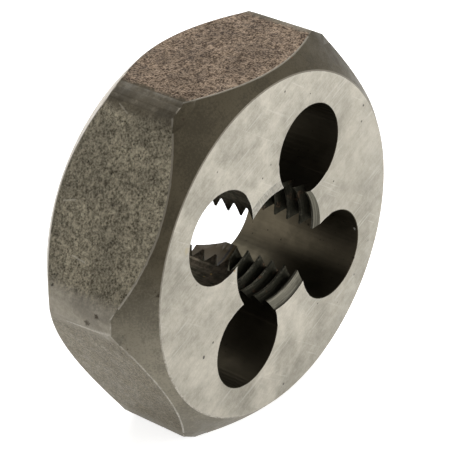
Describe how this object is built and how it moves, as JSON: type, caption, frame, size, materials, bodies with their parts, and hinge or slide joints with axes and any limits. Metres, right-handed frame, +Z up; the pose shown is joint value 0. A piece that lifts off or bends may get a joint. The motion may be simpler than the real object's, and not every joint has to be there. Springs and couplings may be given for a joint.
{
  "type": "hex threading die",
  "caption": "Hexagonal steel threading die with round chip holes about its threaded bore, turned corners and chamfered ground faces.",
  "frame": {"origin": "middle of the base flat, on the surface that the die stands on", "axes": "+Z up, with the die standing on one flat of its hexagon; the thread axis is along Y, and the face seen in the picture looks along -Y"},
  "size_m": [0.0286, 0.0096, 0.0254],
  "materials": {
    "hardened_steel": "ground faces, dark scaled flats and an oily bore"
  },
  "bodies": {
    "root": {"hex_die": "hardened_steel"}
  },
  "joints": []
}
